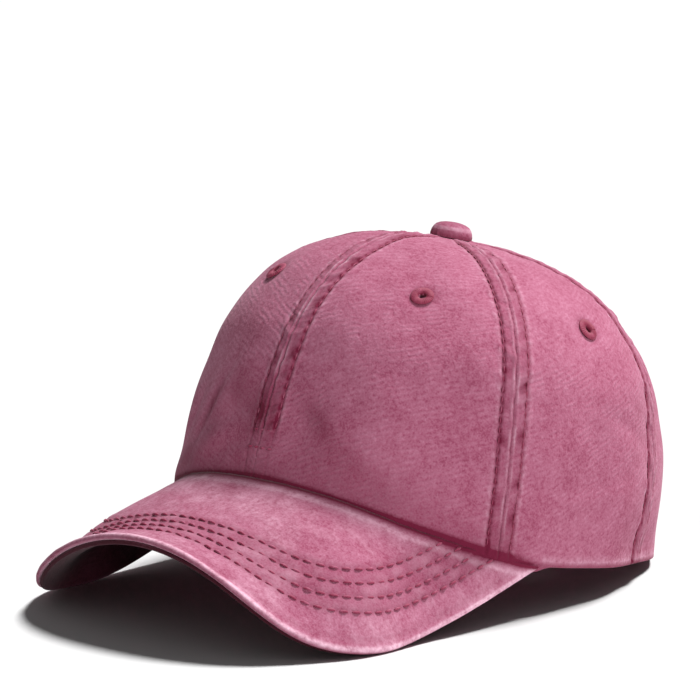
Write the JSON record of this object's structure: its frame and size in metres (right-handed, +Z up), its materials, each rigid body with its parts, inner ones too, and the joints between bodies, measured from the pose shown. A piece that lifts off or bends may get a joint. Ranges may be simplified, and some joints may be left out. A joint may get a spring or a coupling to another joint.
{
  "type": "ponytail baseball cap",
  "caption": "Soft washed-cotton baseball cap with a curved peak, stitched eyelets, a bound slit and arch at the back for a ponytail, and a cloth strap with a brass buckle.",
  "frame": {"origin": "middle of the bounding box on the surface that the cap stands on", "axes": "+Z up, the peak points to -Y, the wearer's left is +X; the cap stands on the sides of its peak and its rear hem"},
  "size_m": [0.1678, 0.2498, 0.129],
  "materials": {
    "twill": "washed cotton twill, dusty rose, worn lighter on the edges",
    "twill_shaded": "the same twill, less worn, darker burgundy",
    "thread": "burgundy sewing thread, tight satin stitch",
    "brass": "dull antique brass"
  },
  "bodies": {
    "root": {"panel_front_left": "twill", "panel_front_right": "twill", "panel_side_left": "twill", "panel_side_right": "twill", "panel_back_left": "twill", "panel_back_right": "twill", "eyelet_front_left": "thread", "eyelet_front_right": "thread", "eyelet_side_left": "thread", "eyelet_side_right": "thread", "eyelet_back_left": "thread", "eyelet_back_right": "thread", "top_button": "twill", "brim_upper_cover": "twill", "brim_under_cover": "twill_shaded", "sweatband": "twill_shaded", "arch_binding": "twill", "slit_binding": "twill", "strap": "twill", "strap_tab": "twill", "buckle_frame": "brass"}
  },
  "joints": []
}
